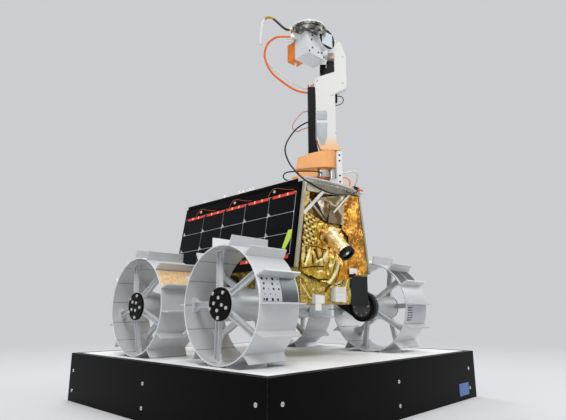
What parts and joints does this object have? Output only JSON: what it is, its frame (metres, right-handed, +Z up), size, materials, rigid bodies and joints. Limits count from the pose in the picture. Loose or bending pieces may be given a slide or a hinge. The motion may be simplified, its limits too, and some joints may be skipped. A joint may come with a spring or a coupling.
{
  "type": "four-wheeled planetary rover on a display plinth",
  "caption": "Small planetary rover with lugged spoked wheels, gold foil body, side solar panels and a camera mast, standing on a display plinth.",
  "frame": {"origin": "middle of the plinth's underside, on the floor", "axes": "+Z up, -Y the rover's front, -X the rover's right side"},
  "size_m": [0.676, 0.64, 0.8543],
  "materials": {
    "white_board": "satin",
    "black_board": "satin",
    "wheel_grey": "satin",
    "black_anodised": "satin",
    "rocker_black": "satin",
    "steel": "brushed",
    "gold_film": "crumpled film",
    "solar_cells": "gloss",
    "bare_aluminium": "satin",
    "deck_white": "satin",
    "orange_print": "printed",
    "mast_white": "satin",
    "black_plastic": "matte",
    "window_glass": "polished",
    "brass_plug": "polished",
    "white_plug": "satin",
    "cable_black": "satin",
    "cable_orange": "satin",
    "cable_white": "satin",
    "cable_red": "satin"
  },
  "bodies": {
    "rover": {"plinth_top_board": "white_board", "plinth_side_panels": "black_board", "wheel_motors": "black_anodised", "wheel_axles": "steel", "rocker_right": "rocker_black", "rocker_left": "rocker_black", "rocker_pivots": "rocker_black", "body_core": "gold_film", "solar_panel_right": "solar_cells", "solar_panel_left": "solar_cells", "rear_plate": "gold_film", "top_deck": "deck_white", "front_frame": "bare_aluminium", "front_braces": "bare_aluminium", "front_foil": "gold_film", "foil_wing_panel": "gold_film", "front_camera_tube": "gold_film", "front_camera_ring": "black_plastic", "connector_boxes": "bare_aluminium", "mast_base": "bare_aluminium", "mast_base_motors": "steel", "mast_bracket": "orange_print", "mast_arm": "mast_white", "mast_duct": "black_plastic", "mast_strap": "bare_aluminium", "mast_neck": "black_plastic", "mast_tilt_block": "bare_aluminium", "deck_plug": "black_plastic", "camera_cord": "cable_black", "sensor_cord": "cable_orange", "duct_loop_cord": "cable_red", "deck_cord": "cable_black", "motor_lead": "cable_black", "white_lead": "cable_white", "orange_lead": "cable_orange", "arm_loop_cord": "cable_black"},
    "wheel_front_right": {"wheel_front_right_rim": "wheel_grey", "wheel_front_right_spokes": "wheel_grey", "wheel_front_right_cap": "black_anodised"},
    "wheel_rear_right": {"wheel_rear_right_rim": "wheel_grey", "wheel_rear_right_spokes": "wheel_grey", "wheel_rear_right_cap": "black_anodised"},
    "wheel_front_left": {"wheel_front_left_rim": "wheel_grey", "wheel_front_left_spokes": "wheel_grey", "wheel_front_left_cap": "black_anodised"},
    "wheel_rear_left": {"wheel_rear_left_rim": "wheel_grey", "wheel_rear_left_spokes": "wheel_grey", "wheel_rear_left_cap": "black_anodised"},
    "head": {"head_housing": "mast_white", "head_lens_ring": "black_plastic", "head_lens_window": "window_glass", "head_dome": "mast_white", "head_sensor_block": "orange_print", "head_camera_plug": "brass_plug", "head_sensor_plug": "white_plug"}
  },
  "joints": [
    {"name": "wheel_front_right_roll", "type": "hinge", "parent": "rover", "child": "wheel_front_right", "pos_m": [-0.028, -0.157, 0.204], "axis": [1, 0, 0], "continuous": true},
    {"name": "wheel_rear_right_roll", "type": "hinge", "parent": "rover", "child": "wheel_rear_right", "pos_m": [-0.028, 0.125, 0.204], "axis": [1, 0, 0], "continuous": true},
    {"name": "wheel_front_left_roll", "type": "hinge", "parent": "rover", "child": "wheel_front_left", "pos_m": [-0.028, -0.157, 0.204], "axis": [1, 0, 0], "continuous": true},
    {"name": "wheel_rear_left_roll", "type": "hinge", "parent": "rover", "child": "wheel_rear_left", "pos_m": [-0.028, 0.125, 0.204], "axis": [1, 0, 0], "continuous": true},
    {"name": "head_tilt", "type": "hinge", "parent": "rover", "child": "head", "pos_m": [-0.03032, -0.17617, 0.771], "axis": [0.6947, -0.7193, 0], "range_deg": [-8, 25]}
  ]
}
